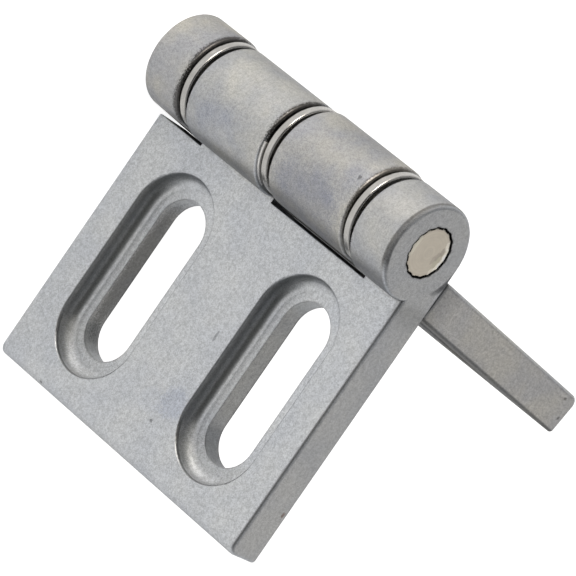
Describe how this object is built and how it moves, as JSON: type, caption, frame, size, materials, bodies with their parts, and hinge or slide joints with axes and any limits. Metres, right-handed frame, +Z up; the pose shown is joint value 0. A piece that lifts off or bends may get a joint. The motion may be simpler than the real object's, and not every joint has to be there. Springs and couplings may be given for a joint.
{
  "type": "cast butt hinge",
  "caption": "Heavy cast butt hinge with slotted leaves, counterbored for socket-head screws, interlocking knuckles, ring washers and a knurled pin.",
  "frame": {"origin": "on the pin's axis, in the plane of the swinging leaf's lower end, which is the hinge's lowest", "axes": "+Z up the pin, towards its knurled end; +Y out of the fixed leaf's mounting face; +X along the fixed leaf, from the pin towards its free edge"},
  "size_m": [0.0569, 0.056, 0.0554],
  "materials": {
    "cast_leaf": "bead blasted stainless casting, matt, light bluish grey with a fine speckle",
    "pin": "turned, with a knurled end, satin, slightly warm",
    "washer": "turned and polished, semi-bright"
  },
  "bodies": {
    "fixed_side": {"fixed_leaf": "cast_leaf", "hinge_pin": "pin", "lower_washer": "washer", "middle_washer": "washer", "upper_washer": "washer"},
    "swinging_side": {"swinging_leaf": "cast_leaf"}
  },
  "joints": [
    {"name": "leaf_swing", "type": "hinge", "parent": "fixed_side", "child": "swinging_side", "pos_m": [0, 0, 0], "axis": [0, 0, 1], "range_deg": [0, 278.5]}
  ]
}
